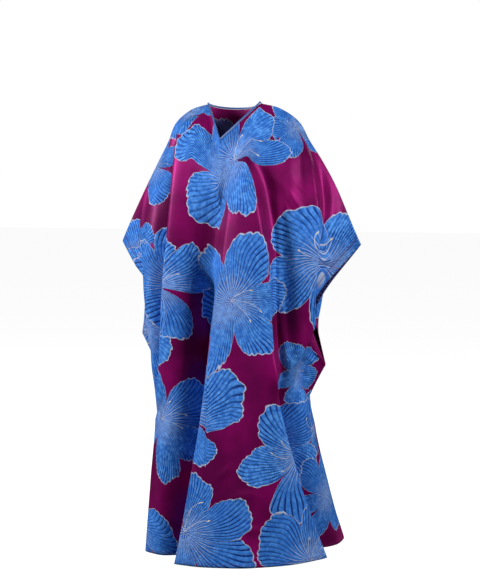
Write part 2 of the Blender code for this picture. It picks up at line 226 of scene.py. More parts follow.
BACK_FLOWERS = (
    (-0.82, 0.10, 0.165, 10, 5),
    (0.84, 0.12, 0.170, 130, 6),
    (0.00, 0.12, 0.195, 60, 6),
    (-0.52, 0.24, 0.160, 80, 5),
    (0.50, 0.30, 0.180, 30, 5),
    (-0.06, 0.42, 0.205, 150, 6),
    (0.84, 0.52, 0.130, 100, 5),
    (-0.55, 0.58, 0.185, 20, 5),
    (0.36, 0.64, 0.190, 100, 6),
    (-0.12, 0.80, 0.200, 170, 5),
    (0.74, 0.86, 0.165, 60, 5),
    (-0.60, 0.92, 0.175, 210, 6),
    (0.30, 1.00, 0.185, 40, 5),
)


def smooth_through(knots, values, at):
    """A smooth curve through table values: a cubic between knots, with its slope at each taken from the knots
    beside it."""
    knots = np.asarray(knots, float)
    values = np.asarray(values, float)
    slopes = np.gradient(values, knots)
    start = np.clip(np.searchsorted(knots, at, side="right") - 1, 0, len(knots) - 2)
    step = knots[start + 1] - knots[start]
    t = (at - knots[start]) / step
    rise = t * t * (3 - 2 * t)
    leave = t * (1 - t) ** 2 * step * slopes[start]
    arrive = t * t * (t - 1) * step * slopes[start + 1]
    return values[start] * (1 - rise) + values[start + 1] * rise + leave + arrive


def column(table, number):
    """One named column of a table."""
    return [row[number] for row in table]


def ease(t):
    """Rises from 0 to 1 with level ends."""
    t = np.clip(t, 0, 1)
    return t * t * (3 - 2 * t)


def top_edge(across, front):
    """Neck, shoulder and arm line of one panel."""
    reach = np.abs(across)
    side = np.sign(across)
    knots = column(ARM_LINE, 0)
    x, y, z = (smooth_through(knots, column(ARM_LINE, n), np.maximum(reach, NECK_ACROSS)) for n in (1, 2, 3))
    along = np.clip((reach - NECK_ACROSS) / (FULL - NECK_ACROSS), 0, 1)
    x = x + np.where(side > 0, LEFT_ARM_FULLNESS, RIGHT_ARM_FULLNESS) * np.sin(np.pi * along) ** 2
    inside = np.clip(1 - reach / NECK_ACROSS, 0, 1)
    if front:
        neck_y = -V_FORWARD * inside
        neck_z = -V_DEPTH * inside
    else:
        neck_y = BACK_NECK_SET * np.sqrt(1 - (1 - inside) ** 2)
        neck_z = -BACK_NECK_DROP * np.sqrt(1 - (1 - inside) ** 2)
    at_neck = reach < NECK_ACROSS
    x = np.where(at_neck, NECK_HALF * reach / NECK_ACROSS, x)
    y = np.where(at_neck, neck_y, y)
    z = np.where(at_neck, neck_z, z)
    return side * x, y, z


def smooth_form(across, fall, front):
    """The robe without its folds: columns hang from the top edge and gather into a round body at the hem."""
    top_x, top_y, top_z = top_edge(across, front)
    at = [smooth_through(column(BODY, 0), column(BODY, n), fall) for n in range(1, 11)]
    right_x, right_y, left_x, left_y, front_x, front_y, back_x, back_y, front_turn, back_turn = at
    middle_x = front_x if front else back_x
    middle_y = front_y if front else back_y
    left_turn = front_turn if front else back_turn
    on_left = across > 0
    edge_x = np.where(on_left, left_x, right_x)
    edge_y = np.where(on_left, left_y, right_y)
    turn = np.radians(np.where(on_left, left_turn, RIGHT_TURN))
    reach = np.abs(across)
    round_x = middle_x + (edge_x - middle_x) * np.sin(turn * reach) / np.sin(turn)
    round_y = middle_y + (edge_y - middle_y) * (1 - np.cos(turn * reach)) / (1 - np.cos(turn))
    pull = ease((reach - SLEEVE_PULL_FROM) / (FULL - SLEEVE_PULL_FROM))
    pulled_in = (edge_x - np.where(on_left, left_x[:1], right_x[:1])) * pull
    share_x = smooth_through(column(ROUNDING, 0), column(ROUNDING, 1), fall)
    share_y = smooth_through(column(ROUNDING, 0), column(ROUNDING, 2), fall)
    x = (top_x + pulled_in) * (1 - share_x) + round_x * share_x
    y = top_y * (1 - share_y) + round_y * share_y
    z = top_z + (HEM_LEVEL - top_z) * fall
    near_edge = ease((reach - 1 + EDGE_REACH) / EDGE_REACH) ** 2
    right_step = -np.interp(fall, *zip(*RIGHT_EDGE_STEPS))
    left_step = np.interp(fall, *zip(*LEFT_EDGE_STEPS))
    x = x + np.where(on_left, left_step, right_step) * near_edge
    seam_top = np.where(on_left, LEFT_SEAM_TOP, RIGHT_SEAM_TOP)
    opening = SLEEVE_OPENING_HALF * np.sin(np.pi * np.clip(fall / seam_top, 0, 1))
    y = y + opening * near_edge * (-1 if front else 1)
    return np.stack([x, y, z], axis=-1)


def outward(points, front):
    """Unit vectors square to the cloth, away from the body, and unit vectors along it to the left."""
    along = np.gradient(points, axis=1)
    down = np.gradient(points, axis=0)
    normal = np.cross(down, along)
    if not front:
        normal = -normal
    normal /= np.linalg.norm(normal, axis=-1, keepdims=True)
    along /= np.linalg.norm(along, axis=-1, keepdims=True)
    return normal, along


def fold_push(folds, across, fall):
    """How far the folds lift the cloth off its smooth form, and how far they lean it to the left: bells whose
    crest follows a curve down the cloth and whose width and height change evenly along it."""
    lift = np.zeros(np.broadcast(across, fall).shape)
    held = ease((1 - np.abs(across)) / FOLD_FREE_OF_SEAM) * ease(fall / FOLD_FREE_OF_TOP)
    slide = np.zeros(lift.shape)
    for start, end, *rest in folds:
        top, middle, bottom, *widths, depth_top, depth_bottom, lean = rest
        right_top, right_bottom, left_top, left_bottom = widths
        t = np.clip((fall - start) / (end - start), 0, 1)
        crest = top * (1 - t) * (1 - 2 * t) + middle * 4 * t * (1 - t) + bottom * t * (2 * t - 1)
        right = right_top + (right_bottom - right_top) * t
        left = left_top + (left_bottom - left_top) * t
        depth = depth_top + (depth_bottom - depth_top) * t
        away = (across - crest) / np.where(across < crest, right, left)
        shown = ease((fall - start) / FOLD_FADE + 0.5) * ease((end - fall) / FOLD_FADE + 0.5)
        push = depth * np.exp(-away * away) * shown * held
        lift = lift + push
        slide = slide + push * lean
    return lift, slide


def crease_push(creases, across, fall):
    """How far small creases lift the cloth: each is a bell across a bowed line between two places, highest at
    the middle of its length and level at its ends."""
    lift = np.zeros(np.broadcast(across, fall).shape)
    x, y = across * CLOTH_ACROSS, fall * CLOTH_DOWN
    for from_across, from_fall, to_across, to_fall, width, depth, bow in creases:
        start = np.array([from_across * CLOTH_ACROSS, from_fall * CLOTH_DOWN])
        run = np.array([to_across * CLOTH_ACROSS, to_fall * CLOTH_DOWN]) - start
        length = np.hypot(*run)
        along = ((x - start[0]) * run[0] + (y - start[1]) * run[1]) / length ** 2
        aside = ((y - start[1]) * run[0] - (x - start[0]) * run[1]) / length
        aside = aside - bow * 4 * along * (1 - along)
        lift = lift + depth * np.exp(-(aside / width) ** 2) * np.sin(np.pi * np.clip(along, 0, 1)) ** 1.5
    return lift


def ripple_push(seed, across, fall):
    """Faint unevenness of hanging cloth: a sum of sine waves that run mostly down the cloth, each with its
    own length, slant and start, stronger toward the hem."""
    chance = np.random.default_rng(seed)
    lift = np.zeros(np.broadcast(across, fall).shape)
    for _ in range(RIPPLES):
        turns_across = chance.uniform(*RIPPLE_TURNS_ACROSS)
        turns_down = chance.uniform(*RIPPLE_TURNS_DOWN)
        start = chance.uniform(0, 2 * np.pi)
        wave = np.sin(across * turns_across + fall * turns_down + start)
        lift = lift + wave * chance.uniform(*RIPPLE_STRENGTH)
    held = ease((1 - np.abs(across)) / FOLD_FREE_OF_SEAM) * ease(fall / FOLD_FREE_OF_TOP)
    return lift * RIPPLE_HEIGHT * (0.5 + fall) * held


def panel_form(across, fall, front):
    """The folded form of one panel as a grid of points, rows down the cloth and columns across it."""
    across = np.atleast_2d(across)
    fall = np.reshape(fall, (-1, 1))
    smooth = smooth_form(across, fall, front)
    normal, along = outward(smooth, front)
    lift, slide = fold_push(FRONT_FOLDS if front else BACK_FOLDS, across, fall)
    lift = lift + crease_push(FRONT_CREASES if front else BACK_CREASES, across, fall)
    lift = lift + ripple_push(5 if front else 6, across, fall)
    apart = np.array([0, -SEAM_GAP if front else SEAM_GAP, 0])
    return smooth + normal * lift[..., None] + along * slide[..., None] + apart


# Cloth laid out flat

LAID_ROW = 0.45  # fall of the row that the laid-out cloth is measured from
LAID_EASING = 16  # rows or columns over which the laid-out cloth evens out the pull of its folds
LEAST_RUN = 1e-9


def evened(values, reach):
    """Each column's values averaged over the rows within reach, with bell weights. Past the end rows the
    values run on as they came."""
    weights = np.exp(-(np.arange(-reach, reach + 1) * 2 / reach) ** 2 / 2)
    padded = np.pad(values, ((reach, reach), (0, 0)), mode="reflect", reflect_type="odd")
    turned = np.array([padded[n:n + len(values)] * w for n, w in enumerate(weights)])
    return turned.sum(0) / weights.sum()


def laid_out(points, fall):
    """Place of each point on the cloth when it is laid out. Across, it is the level length along the row from
    the middle column. Down, it is the length of each step down a column, less the part of the step that runs
    level along the cloth, added up from one row whose own places are its heights. Both are then evened."""
    level = points[..., :2]
    across_step = np.linalg.norm(np.diff(level, axis=1), axis=-1)
    x = np.concatenate([np.zeros((len(points), 1)), np.cumsum(across_step, axis=1)], axis=1)
    x -= x[:, [x.shape[1] // 2]]
    run = np.gradient(level, axis=1)
    run /= np.maximum(np.linalg.norm(run, axis=-1, keepdims=True), LEAST_RUN)
    run = (run[1:] + run[:-1]) / 2
    step = np.diff(points, axis=0)
    sideways = np.einsum("ijk,ijk->ij", step[..., :2], run)
    down = np.sqrt(np.maximum((step ** 2).sum(-1) - sideways ** 2, 0))
    y = -np.concatenate([np.zeros((1, points.shape[1])), np.cumsum(down, axis=0)], axis=0)
    row = int(np.argmin(np.abs(fall - LAID_ROW)))
    y += points[row, :, 2] - y[row]
    return evened(x, LAID_EASING), evened(y.T, LAID_EASING).T


def edge_distance(x, y, across, fall):
    """Distance of each point from the hem and from the open sleeve edges, on the laid-out cloth."""
    from_hem = y - y[-1:]
    from_side = np.where(across > 0, x[:, -1:] - x, x - x[:, :1])
    seam_top = np.where(across > 0, LEFT_SEAM_TOP, RIGHT_SEAM_TOP)
    below = np.clip(fall[:, None] - seam_top, 0, 1) * CLOTH_DOWN
    return np.minimum(from_hem, np.hypot(from_side, below))


PETAL_HALF = math.radians(38)
PETAL_FULLNESS = 2.3
PETAL_ROUNDNESS = 0.55
NEAR_SIDE = 0.999  # share of the half-angle just inside a petal's sides
MOST_REACH = 1.15  # the most that a lopsided petal reaches past an even one
PETAL_LEAN = 0.12  # radians that a petal strays from its even place, as a usual error
PETAL_LENGTH_CHANGE = (-0.24, 0.14)
FIVE_PETAL_HALF = (36, 48)  # degrees
SIX_PETAL_HALF = (30, 41)
COVER_MARGIN = 0.006
EDGE_SWING = 0.12  # how far scallops and waves carry a petal's edge, as a share of its length
HEART_REACH = 0.7  # how far from a flower's middle its heart is mapped, as a share of its size
FAR_AWAY = (0.0, -5.0)
LAYERS = ("upper", "lower", "lowest")  # petals that may lie over one another at one place


def petal_reach(turn):
    """How far a petal reaches at a share of its half-angle, from 1 on its axis to 0 at its sides."""
    return np.clip(1 - np.abs(turn) ** PETAL_FULLNESS, 0, 1) ** PETAL_ROUNDNESS


def petals_of(flowers, laid_x, laid_y, across, fall, seed):
    """Petals of every flower: place of the base on the laid-out cloth, direction, length and half-angle. They
    stand evenly round it, with small chance differences."""
    chance = np.random.default_rng(seed)
    found = []
    for flower_across, flower_fall, size, turn, count in flowers:
        row = np.abs(fall - flower_fall).argmin()
        place = np.abs(across - flower_across).argmin()
        x, y = laid_x[row, place], laid_y[row, place]
        order = chance.permutation(count)
        for n in order:
            angle = math.radians(turn) + 2 * math.pi * n / count + chance.normal(0, PETAL_LEAN)
            length = size * (1 + chance.uniform(*PETAL_LENGTH_CHANGE))
            half = math.radians(chance.uniform(*(FIVE_PETAL_HALF if count == 5 else SIX_PETAL_HALF)))
            found.append((x, y, angle, length, half))
    return found


def petal_places(x, y, petal):
    """Cloth places in one petal's own measure: across it, scaled to a common half-angle, and along it to 1 at
    its tip."""
    base_x, base_y, angle, length, half = petal
    away_x, away_y = x - base_x, y - base_y
    along = (away_x * math.cos(angle) + away_y * math.sin(angle)) / length
    aside = (away_y * math.cos(angle) - away_x * math.sin(angle)) / length
    return aside * math.tan(PETAL_HALF) / math.tan(half), along


def petal_maps(x, y, faces, petals):
    """For each face, the topmost petal on it and the two under that, as maps of petal places at the face's
    corners with the number of each petal, laid one petal after another over the ones before."""
    middle_x, middle_y = x[faces].mean(1), y[faces].mean(1)
    upper, lower, lowest = (np.full(len(faces), -1) for _ in LAYERS)
    for number, petal in enumerate(petals):
        aside, along = petal_places(middle_x, middle_y, petal)
        radius = np.hypot(aside, along)
        turn = np.arctan2(aside, along) / PETAL_HALF
        margin = COVER_MARGIN / petal[3]
        near_side = np.abs(aside) < np.abs(along) * math.tan(PETAL_HALF) + margin
        reach = petal_reach(np.clip(turn, -NEAR_SIDE, NEAR_SIDE)) * MOST_REACH + EDGE_SWING + margin
        covered = (radius < reach) & near_side & (along > -margin)
        lowest[covered] = lower[covered]
        lower[covered] = upper[covered]
        upper[covered] = number
    maps = []
    for owner in (upper, lower, lowest):
        places = np.empty(faces.shape + (2,))
        places[:] = FAR_AWAY
        for number, petal in enumerate(petals):
            mine = owner == number
            aside, along = petal_places(x[faces[mine]], y[faces[mine]], petal)
            places[mine] = np.stack([aside, along], axis=-1)
        maps.append((places, owner))
    return maps


def heart_map(x, y, faces, flowers, laid_x, laid_y, across, fall):
    """For each face near a flower's middle, its corners' places from that middle as shares of the flower's
    size, the first axis along the flower's turn."""
    middle_x, middle_y = x[faces].mean(1), y[faces].mean(1)
    places = np.empty(faces.shape + (2,))
    places[:] = FAR_AWAY
    for flower_across, flower_fall, size, turn, _ in flowers:
        row = np.abs(fall - flower_fall).argmin()
        place = np.abs(across - flower_across).argmin()
        base_x, base_y = laid_x[row, place], laid_y[row, place]
        near = np.hypot(middle_x - base_x, middle_y - base_y) < HEART_REACH * size
        away_x, away_y = (x[faces[near]] - base_x) / size, (y[faces[near]] - base_y) / size
        lean = math.radians(turn)
        along = away_x * math.cos(lean) + away_y * math.sin(lean)
        aside = away_y * math.cos(lean) - away_x * math.sin(lean)
        places[near] = np.stack([along, aside], axis=-1)
    return places


# Materials


class Nodes:
    """A material's node tree, with short ways to add nodes and maths."""

    def __init__(self, name):
        self.material = bpy.data.materials.new(name)
        self.material.use_nodes = True
        self.tree = self.material.node_tree
        self.shader = self.tree.nodes["Principled BSDF"]

    def add(self, kind, **settings):
        node = self.tree.nodes.new(kind)
        for key, value in settings.items():
            setattr(node, key, value)
        return node

    def link(self, source, target):
        self.tree.links.new(source, target)

    def put(self, socket, value):
        if isinstance(value, (int, float, tuple)):
            socket.default_value = value
        else:
            self.link(value, socket)

    def math(self, operation, *values, clamp=False):
        node = self.add("ShaderNodeMath", operation=operation, use_clamp=clamp)
        for socket, value in zip(node.inputs, values):
            self.put(socket, value)
        return node.outputs[0]

    def ramp(self, value, low, high):
        """0 below low, 1 above high, smooth between."""
        node = self.add("ShaderNodeMapRange", interpolation_type="SMOOTHSTEP")
        self.put(node.inputs["Value"], value)
        node.inputs["From Min"].default_value = low
        node.inputs["From Max"].default_value = high
        return node.outputs[0]

    def mix(self, share, first, second):
        node = self.add("ShaderNodeMix", data_type="RGBA", clamp_factor=True)
        self.put(node.inputs[0], share)
        self.put(node.inputs[6], first)
        self.put(node.inputs[7], second)
        return node.outputs[2]

    def noise(self, vector, scale, detail=2.0, roughness=0.5):
        node = self.add("ShaderNodeTexNoise")
        self.put(node.inputs["Vector"], vector)
        node.inputs["Scale"].default_value = scale
        node.inputs["Detail"].default_value = detail
        node.inputs["Roughness"].default_value = roughness
        return node.outputs["Fac"]


MAGENTA = (0.250, 0.002, 0.114, 1)
MAGENTA_DEEP = (0.095, 0.001, 0.048, 1)
BLUE = (0.024, 0.130, 0.480, 1)
BLUE_LIGHT = (0.100, 0.330, 0.800, 1)
BLUE_DEEP = (0.004, 0.022, 0.150, 1)
CORD = (0.360, 0.400, 0.540, 1)
VEIN = (0.460, 0.500, 0.600, 1)
GRAIN = (0.620, 0.560, 0.420, 1)

# A petal's drawing, in shares of its length and of its half-angle
RIB_WANDER = 0.45
RIB_CURVE = 0.9
RIB_TURNS = 56.0
VEIN_TURNS = 34.0
LOPSIDED = 0.30
NIB_LENGTH = 0.07
RUFFLE_HEIGHT = 0.16
SCALLOP_TURNS = 19.0
SCALLOP_HEIGHT = 0.022
WAVE_TURNS = 5.5
WAVE_HEIGHT = 0.030
CORD_WIDTH = 0.018

# A flower's heart, in shares of its size
HEART_RADIUS = 0.075
HEART_SPOKES = 11.0
STAMEN_CURL = 1.6
STAMEN_TURNS = 5.0
STAMEN_SPREAD = 1.0
STAMEN_LENGTH = 0.47
STAMEN_SHORTENING = -0.14
STAMEN_THICK = 0.024
GRAIN_LENGTH = 0.030

# Relief of the cloth
RELIEF = 1.4 * MM
STITCH_INSET = 2 * MM
EDGE_BLUR = 0.6 * MM


def petal_layer(nodes, map_name, tone):
    """Masks of one layer of petals: inside the scalloped edge, on the cord round it, the ribs that fan out
    from its base with narrow grooves between them, and the pale veins near the base."""
    places = nodes.add("ShaderNodeUVMap", uv_map=map_name).outputs["UV"]
    split = nodes.add("ShaderNodeSeparateXYZ")
    nodes.link(places, split.inputs[0])
    aside, along = split.outputs[0], split.outputs[1]
    squares = nodes.math("MULTIPLY_ADD", aside, aside, nodes.math("MULTIPLY", along, along))
    radius = nodes.math("SQRT", squares)
    turn = nodes.math("DIVIDE", nodes.math("ARCTAN2", aside, along), PETAL_HALF)
    place = nodes.add("ShaderNodeCombineXYZ")
    nodes.link(aside, place.inputs[0])
    nodes.link(along, place.inputs[1])
    nodes.link(nodes.math("MULTIPLY", tone, 9.0), place.inputs[2])
    wander = nodes.math("SUBTRACT", nodes.noise(place.outputs[0], 1.8, 0.0), 0.5)
    curve = nodes.math("MULTIPLY", nodes.math("SUBTRACT", tone, 0.5), squares)
    bent = nodes.math("MULTIPLY_ADD", curve, RIB_CURVE, nodes.math("MULTIPLY_ADD", wander, RIB_WANDER, turn))
    size = nodes.math("ABSOLUTE", turn)
    reach = nodes.math("SUBTRACT", 1.0, nodes.math("POWER", size, PETAL_FULLNESS))
    reach = nodes.math("POWER", nodes.math("MAXIMUM", reach, 0.0), PETAL_ROUNDNESS)
    lopsided = nodes.math("MULTIPLY", nodes.math("SUBTRACT", tone, 0.5), turn)
    reach = nodes.math("MULTIPLY", reach, nodes.math("MULTIPLY_ADD", lopsided, LOPSIDED, 1.0))
    nib = nodes.math("MULTIPLY", nodes.ramp(size, 0.30, 0.0), nodes.ramp(tone, 0.45, 0.55))
    ruffle = nodes.math("SUBTRACT", nodes.noise(place.outputs[0], 4.5, 1.0), 0.5)
    ruffled = nodes.math("MULTIPLY_ADD", ruffle, RUFFLE_HEIGHT, reach)
    reach = nodes.math("MULTIPLY_ADD", nib, NIB_LENGTH, ruffled)
    scallop = nodes.math("ABSOLUTE", nodes.math("SINE", nodes.math("MULTIPLY", bent, SCALLOP_TURNS)))
    wave_turn = nodes.math("MULTIPLY", turn, WAVE_TURNS)
    wave = nodes.math("SINE", nodes.math("MULTIPLY_ADD", tone, 40.0, wave_turn))
    waved = nodes.math("MULTIPLY_ADD", wave, WAVE_HEIGHT, reach)
    edge = nodes.math("MULTIPLY_ADD", scallop, SCALLOP_HEIGHT, waved)
    past = nodes.math("SUBTRACT", edge, radius)
    ahead = nodes.math("GREATER_THAN", along, 0.0)
    inside = nodes.math("MULTIPLY", nodes.math("GREATER_THAN", past, 0.0), ahead)
    cord = nodes.math("MULTIPLY", nodes.math("LESS_THAN", past, CORD_WIDTH), inside)
    ribs = nodes.math("MULTIPLY_ADD", nodes.math("SINE", nodes.math("MULTIPLY", bent, RIB_TURNS)), 0.5, 0.5)
    from_base = nodes.ramp(radius, 0.06, 0.30)
    deep = nodes.ramp(nodes.noise(place.outputs[0], 2.3, 1.0), 0.38, 0.62)
    depth = nodes.math("MULTIPLY_ADD", deep, 0.55, 0.45)
    # Groove mask between the ribs: it lowers the relief, and in flower_cloth it also carries painted shade
    groove = nodes.math("MULTIPLY", nodes.ramp(ribs, 0.34, 0.06), depth)
    fine = nodes.math("MULTIPLY_ADD", nodes.math("SINE", nodes.math("MULTIPLY", bent, VEIN_TURNS)), 0.5, 0.5)
    veins = nodes.math("MULTIPLY", nodes.ramp(fine, 0.20, 0.06), nodes.ramp(radius, 0.55, 0.15))
    return inside, cord, ribs, groove, from_base, veins


def flower_heart(nodes):
    """Masks of a flower's heart: a round middle that closes over the petals' bases, a spray of thin stamens
    to one side, and the grains at their ends."""
    places = nodes.add("ShaderNodeUVMap", uv_map="heart").outputs["UV"]
    split = nodes.add("ShaderNodeSeparateXYZ")
    nodes.link(places, split.inputs[0])
    along, aside = split.outputs[0], split.outputs[1]
    squares = nodes.math("MULTIPLY_ADD", aside, aside, nodes.math("MULTIPLY", along, along))
    radius = nodes.math("SQRT", squares)
    turn = nodes.math("ARCTAN2", aside, along)
    middle = nodes.math("LESS_THAN", radius, HEART_RADIUS)
    bent = nodes.math("MULTIPLY_ADD", nodes.math("MULTIPLY", radius, radius), STAMEN_CURL, turn)
    beside = nodes.math("ABSOLUTE", nodes.math("SINE", nodes.math("MULTIPLY", bent, STAMEN_TURNS)))
    beside = nodes.math("MULTIPLY", beside, radius)
    spray = nodes.math("LESS_THAN", nodes.math("ABSOLUTE", bent), STAMEN_SPREAD)
    end = nodes.math("MULTIPLY_ADD", nodes.math("ABSOLUTE", bent), STAMEN_SHORTENING, STAMEN_LENGTH)
    on_stamen = nodes.math("LESS_THAN", beside, STAMEN_THICK)
    stamen = nodes.math("MULTIPLY", on_stamen, nodes.math("LESS_THAN", radius, end))
    from_end = nodes.math("ABSOLUTE", nodes.math("SUBTRACT", radius, end))
    from_grain = nodes.math("ADD", from_end, nodes.math("MULTIPLY", beside, 0.5))
    grain = nodes.math("LESS_THAN", from_grain, GRAIN_LENGTH)
    return middle, nodes.math("MULTIPLY", stamen, spray), nodes.math("MULTIPLY", grain, spray), turn, radius


def flower_cloth(name):
    """Satin ground with raised petals in three layers: colour, rib relief with painted shade in the grooves
    between the ribs, cord relief and a fine weave.
    """
    nodes = Nodes(name)
    own = nodes.add("ShaderNodeTexCoord").outputs["Object"]
    slow = nodes.noise(own, 6.0, 3.0)
    crinkle = nodes.noise(own, 75.0, 3.0, 0.6)
    grain = nodes.noise(own, 420.0, 2.0)
    weave = nodes.add("ShaderNodeTexWave", bands_direction="Z")
    nodes.link(own, weave.inputs["Vector"])
    weave.inputs["Scale"].default_value = 120.0
    weave.inputs["Distortion"].default_value = 1.5
    weave.inputs["Detail"].default_value = 1.0
    colour = nodes.mix(nodes.ramp(slow, 0.30, 0.75), MAGENTA_DEEP, MAGENTA)
    colour = nodes.mix(nodes.math("MULTIPLY", weave.outputs["Fac"], 0.22), colour, MAGENTA_DEEP)
    height = nodes.math("MULTIPLY", weave.outputs["Fac"], 0.08)
    on_petal = None
    for layer in reversed(LAYERS):
        tone = nodes.add("ShaderNodeAttribute", attribute_name=layer + "_tone").outputs["Fac"]
        inside, cord, ribs, groove, from_base, veins = petal_layer(nodes, layer, tone)
        groove_dip_and_painted_shade = nodes.math("MULTIPLY", groove, from_base)
        lighter = nodes.math("MULTIPLY_ADD", tone, 0.6, 0.4)
        light = nodes.math("MULTIPLY", nodes.ramp(crinkle, 0.35, 0.75), lighter)
        blue = nodes.mix(light, BLUE, BLUE_LIGHT)
        # Painted shade: the grooves between the ribs are darkened almost to BLUE_DEEP, on top of their dip in
        # the bump relief
        blue = nodes.mix(nodes.math("MULTIPLY", groove_dip_and_painted_shade, 0.95), blue, BLUE_DEEP)
        blue = nodes.mix(nodes.math("MULTIPLY", veins, 0.8), blue, VEIN)
        blue = nodes.mix(cord, blue, CORD)
        colour = nodes.mix(inside, colour, blue)
        raised = nodes.math("SUBTRACT", 1.0, groove_dip_and_painted_shade)
        raised = nodes.math("MULTIPLY_ADD", ribs, 0.25, raised)
        raised = nodes.math("MULTIPLY_ADD", cord, 0.6, raised)
        under = nodes.math("MULTIPLY", height, nodes.math("SUBTRACT", 1.0, inside))
        height = nodes.math("MULTIPLY_ADD", raised, inside, under)
        on_petal = inside if on_petal is None else nodes.math("MAXIMUM", on_petal, inside)
    middle, stamen, grains, turn, radius = flower_heart(nodes)
    spokes = nodes.math("SINE", nodes.math("MULTIPLY", turn, HEART_SPOKES))
    spokes = nodes.math("MULTIPLY_ADD", spokes, 0.5, 0.5)
    heart = nodes.mix(nodes.math("MULTIPLY", nodes.ramp(spokes, 0.6, 0.95), 0.8), BLUE, VEIN)
    between = nodes.math("MULTIPLY", nodes.ramp(spokes, 0.35, 0.1), nodes.ramp(radius, 0.02, 0.12))
    heart = nodes.mix(between, heart, BLUE_DEEP)
    colour = nodes.mix(middle, colour, heart)
    colour = nodes.mix(stamen, colour, CORD)
    colour = nodes.mix(grains, colour, GRAIN)
    on_petal = nodes.math("MAXIMUM", on_petal, middle)
    height = nodes.math("MULTIPLY_ADD", nodes.math("MAXIMUM", stamen, grains), 0.5, height)
    inner = nodes.add("ShaderNodeAttribute", attribute_name="inner_side").outputs["Fac"]
    colour = nodes.mix(nodes.math("MULTIPLY", inner, 0.55), colour, MAGENTA_DEEP)
    from_edge = nodes.add("ShaderNodeAttribute", attribute_name="from_edge").outputs["Fac"]
    turned = nodes.ramp(from_edge, HEM_TURN + EDGE_BLUR, HEM_TURN - EDGE_BLUR)
    stitched = nodes.math("ABSOLUTE", nodes.math("SUBTRACT", from_edge, HEM_TURN - STITCH_INSET))
    stitched = nodes.ramp(stitched, 1.3 * MM, 0.4 * MM)
    colour = nodes.mix(nodes.math("MULTIPLY", stitched, 0.45), colour, MAGENTA_DEEP)
    height = nodes.math("MULTIPLY_ADD", turned, 0.9, height)
    height = nodes.math("MULTIPLY_ADD", stitched, -0.7, height)
    height = nodes.math("MULTIPLY_ADD", nodes.math("MULTIPLY", crinkle, on_petal), 0.9, height)
    height = nodes.math("MULTIPLY_ADD", grain, 0.05, height)
    bump = nodes.add("ShaderNodeBump")
    bump.inputs["Strength"].default_value = 0.9
    bump.inputs["Distance"].default_value = RELIEF
    nodes.link(height, bump.inputs["Height"])
    nodes.link(bump.outputs[0], nodes.shader.inputs["Normal"])
    nodes.link(colour, nodes.shader.inputs["Base Color"])
    rough = nodes.math("MULTIPLY_ADD", on_petal, 0.20, nodes.math("MULTIPLY_ADD", grain, 0.10, 0.36))
    nodes.link(rough, nodes.shader.inputs["Roughness"])
    lustre = nodes.math("MULTIPLY_ADD", on_petal, -0.18, 0.28)
    nodes.link(lustre, nodes.shader.inputs["Metallic"])
    glint = nodes.mix(0.12, colour, (1, 1, 1, 1))
    nodes.link(glint, nodes.shader.inputs["Specular Tint"])
    nodes.shader.inputs["Sheen Weight"].default_value = 0.02
    nodes.shader.inputs["Sheen Roughness"].default_value = 0.4
    nodes.shader.inputs["Specular IOR Level"].default_value = 0.5
    nodes.shader.inputs["Anisotropic"].default_value = 0.4
    return nodes.material


STRIP_DEEP = (0.010, 0.040, 0.180, 1)
STRIP_LIGHT = (0.040, 0.120, 0.340, 1)


def binding_cloth():
    """Dark blue satin of the neck strip, with a fine uneven grain."""
    nodes = Nodes("binding_satin")
    own = nodes.add("ShaderNodeTexCoord").outputs["Object"]
    grain = nodes.noise(own, 300.0, 2.0)
    colour = nodes.mix(grain, STRIP_DEEP, STRIP_LIGHT)
    nodes.link(colour, nodes.shader.inputs["Base Color"])
    nodes.link(nodes.math("MULTIPLY_ADD", grain, 0.2, 0.35), nodes.shader.inputs["Roughness"])
    bump = nodes.add("ShaderNodeBump")
    bump.inputs["Distance"].default_value = 0.4 * MM
    nodes.link(grain, bump.inputs["Height"])
    nodes.link(bump.outputs[0], nodes.shader.inputs["Normal"])
    return nodes.material


def floor_paper():
    """Plain white studio floor."""
    nodes = Nodes("studio_floor")
    nodes.shader.inputs["Base Color"].default_value = (0.25, 0.25, 0.25, 1)
    nodes.shader.inputs["Emission Color"].default_value = (1, 1, 1, 1)
    nodes.shader.inputs["Emission Strength"].default_value = 0.95
    nodes.shader.inputs["Roughness"].default_value = 0.8
    nodes.shader.inputs["Specular IOR Level"].default_value = 0.1
    return nodes.material


# Pieces


def new_object(name, points, faces, materials):
    """A smooth-shaded object with its vertices and faces put in as whole arrays."""
    mesh = bpy.data.meshes.new(name)
    mesh.from_pydata(points, [], faces)
    mesh.validate()
    piece = bpy.data.objects.new(name, mesh)
    bpy.context.scene.collection.objects.link(piece)
    for material in materials:
        mesh.materials.append(material)
    mesh.shade_smooth()
    return piece


def grid_faces(rows, columns):
    """Quads of a grid, front side toward the outward face of a front panel."""
    index = np.arange(rows * columns).reshape(rows, columns)
    return np.stack([index[:-1, :-1], index[1:, :-1], index[1:, 1:], index[:-1, 1:]], axis=-1).reshape(-1, 4)


def rim_faces(rows, columns):
    """Quads that join the outer and inner grids all round their edge."""
    index = np.arange(rows * columns).reshape(rows, columns)
    around = np.concatenate([index[:, 0], index[-1, 1:], index[-2::-1, -1], index[0, -2:0:-1]])
    after = np.roll(around, -1)
    inner = rows * columns
    return np.stack([around, around + inner, after + inner, after], axis=-1)


